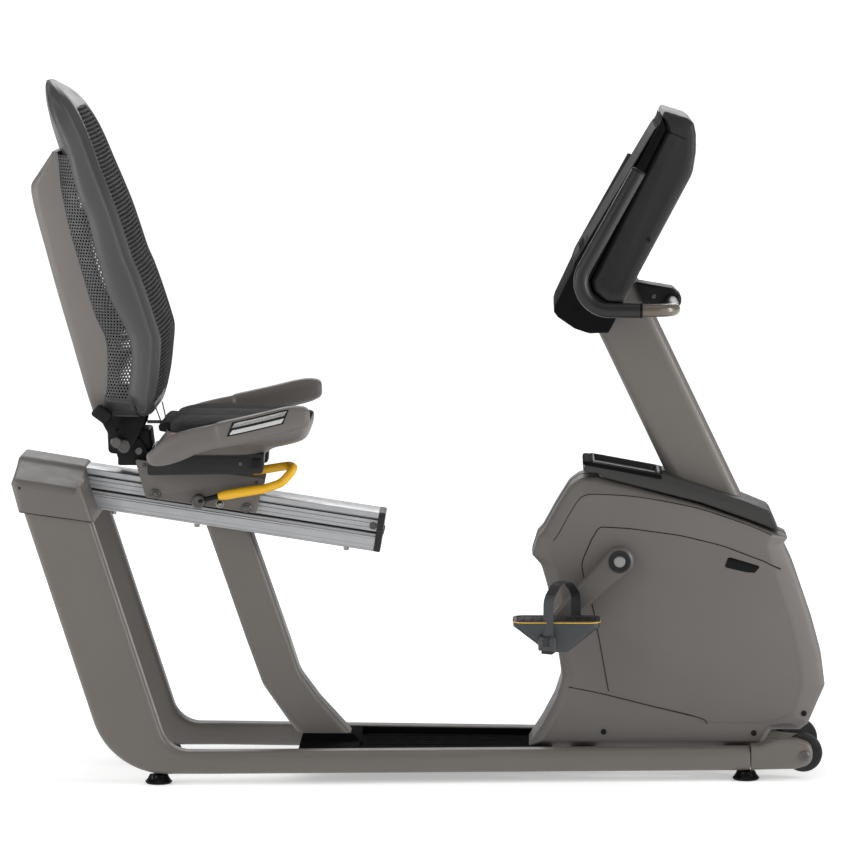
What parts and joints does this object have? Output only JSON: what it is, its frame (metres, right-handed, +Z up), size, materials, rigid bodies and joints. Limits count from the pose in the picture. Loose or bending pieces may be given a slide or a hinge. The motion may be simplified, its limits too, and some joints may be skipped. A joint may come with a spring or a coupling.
{
  "type": "recumbent exercise bike",
  "caption": "Recumbent exercise bike: step-over base, reclining mesh-backed seat sliding on a sloped rail, side grips, shrouded pedal drive, and a leaning mast with console and handlebar.",
  "frame": {"origin": "on the floor below the middle of the bike's overall length and width", "axes": "+X towards the pedals and console (the way the rider faces), +Y to the rider's left, +Z up"},
  "size_m": [1.6095, 0.6468, 1.386],
  "materials": {
    "frame_paint": "satin warm grey powder coat",
    "rail_metal": "brushed along its length, clear anodised",
    "body_plastic": "satin moulded warm grey",
    "dark_plastic": "satin dark grey, fine grain",
    "black_plastic": "semi-matt black",
    "foot_black": "gloss black",
    "foam": "soft black foam",
    "wheel_rubber": "black rubber",
    "belt_rubber": "ribbed black rubber",
    "strap_rubber": "flexible black strap",
    "mesh_fabric": "black open knit",
    "cushion_fabric": "black woven upholstery",
    "steel": "machined steel",
    "arm_metal": "satin warm grey",
    "flywheel_iron": "turned and blackened",
    "glass_screen": "gloss black display cover",
    "lever_yellow": "satin yellow",
    "contact_steel": "polished strips"
  },
  "bodies": {
    "frame": {"side_rail_right": "frame_paint", "side_rail_left": "frame_paint", "rear_corners": "frame_paint", "rear_upright_right": "frame_paint", "rear_upright_left": "frame_paint", "top_crossbeam": "frame_paint", "rear_top_cover": "body_plastic", "seat_rail": "rail_metal", "rail_end_cap": "dark_plastic", "centre_post": "frame_paint", "cross_members": "frame_paint", "deck_cover": "black_plastic", "drive_frame": "frame_paint", "crank_bearings": "steel", "shroud_right": "body_plastic", "shroud_left": "body_plastic", "side_panel_right": "body_plastic", "side_panel_left": "body_plastic", "top_tray": "black_plastic", "console_mast": "frame_paint", "console_housing": "dark_plastic", "console_bezel": "dark_plastic", "console_screen": "glass_screen", "handlebar": "frame_paint", "handlebar_clamp": "dark_plastic", "handlebar_grips": "foam", "wheel_brackets": "frame_paint", "drive_belt": "belt_rubber", "brake_magnet": "steel", "foot_rear_right": "foot_black", "foot_rear_left": "foot_black", "foot_front_right": "foot_black", "foot_front_left": "foot_black"},
    "crank": {"crank_axle": "steel", "drive_pulley": "arm_metal", "crank_arm_right": "arm_metal", "crank_arm_left": "arm_metal"},
    "flywheel_rotor": {"flywheel": "flywheel_iron"},
    "pedal_unit_right": {"pedal_right": "black_plastic", "pedal_strap_right": "strap_rubber"},
    "pedal_unit_left": {"pedal_left": "black_plastic", "pedal_strap_left": "strap_rubber"},
    "wheel_right": {"transport_wheel_right": "wheel_rubber"},
    "wheel_left": {"transport_wheel_left": "wheel_rubber"},
    "seat": {"seat_carriage": "frame_paint", "seat_base": "black_plastic", "seat_pan": "body_plastic", "seat_cushion": "cushion_fabric", "seat_handles": "body_plastic", "pulse_contacts": "contact_steel", "recline_bracket": "frame_paint"},
    "rollers_rear": {"seat_rollers_rear": "black_plastic"},
    "rollers_front": {"seat_rollers_front": "black_plastic"},
    "lever": {"seat_lever": "steel", "lever_grip": "lever_yellow"},
    "back": {"back_frame": "dark_plastic", "back_mesh": "mesh_fabric", "back_cover": "body_plastic", "back_arms": "frame_paint"},
    "recline_release": {"recline_lever": "black_plastic"}
  },
  "joints": [
    {"name": "crank_spin", "type": "hinge", "parent": "frame", "child": "crank", "pos_m": [0.3949, 0, 0.4378], "axis": [0, 1, 0], "continuous": true},
    {"name": "flywheel_spin", "type": "hinge", "parent": "frame", "child": "flywheel_rotor", "pos_m": [0.61, 0, 0.26], "axis": [0, 1, 0], "continuous": true},
    {"name": "pedal_right_spin", "type": "hinge", "parent": "crank", "child": "pedal_unit_right", "pos_m": [0.27222, -0.2075, 0.31724], "axis": [0, 1, 0], "continuous": true},
    {"name": "pedal_left_spin", "type": "hinge", "parent": "crank", "child": "pedal_unit_left", "pos_m": [0.51758, 0.2075, 0.55836], "axis": [0, 1, 0], "continuous": true},
    {"name": "wheel_right_spin", "type": "hinge", "parent": "frame", "child": "wheel_right", "pos_m": [0.762, -0.096, 0.052], "axis": [0, 1, 0], "continuous": true},
    {"name": "wheel_left_spin", "type": "hinge", "parent": "frame", "child": "wheel_left", "pos_m": [0.762, 0.096, 0.052], "axis": [0, 1, 0], "continuous": true},
    {"name": "seat_slide", "type": "slide", "parent": "frame", "child": "seat", "axis": [0.9885, 0, -0.1513], "range_m": [-0.08, 0.22]},
    {"name": "roller_rear_spin", "type": "hinge", "parent": "seat", "child": "rollers_rear", "pos_m": [-0.52797, 0, 0.56408], "axis": [0, 1, 0], "continuous": true},
    {"name": "roller_front_spin", "type": "hinge", "parent": "seat", "child": "rollers_front", "pos_m": [-0.34658, 0, 0.53632], "axis": [0, 1, 0], "continuous": true},
    {"name": "seat_lever_lift", "type": "hinge", "parent": "seat", "child": "lever", "pos_m": [-0.4407, -0.09, 0.5517], "axis": [0, -1, 0], "range_deg": [0, 8], "stiffness_Nm_per_rad": 1, "springref_deg": -8.59},
    {"name": "back_recline", "type": "hinge", "parent": "seat", "child": "back", "pos_m": [-0.5914, 0, 0.6587], "axis": [0, -1, 0], "range_deg": [-4, 14]},
    {"name": "recline_release_pull", "type": "hinge", "parent": "back", "child": "recline_release", "pos_m": [-0.602, -0.122, 0.672], "axis": [0, -1, 0], "range_deg": [0, 10], "stiffness_Nm_per_rad": 0.5, "springref_deg": -14.32}
  ],
  "couplings": [
    {"joint": "flywheel_spin", "follows": "crank_spin", "ratio": 3.8},
    {"joint": "roller_rear_spin", "follows": "seat_slide", "rad_per_m": 71.429},
    {"joint": "roller_front_spin", "follows": "seat_slide", "rad_per_m": 71.429}
  ]
}
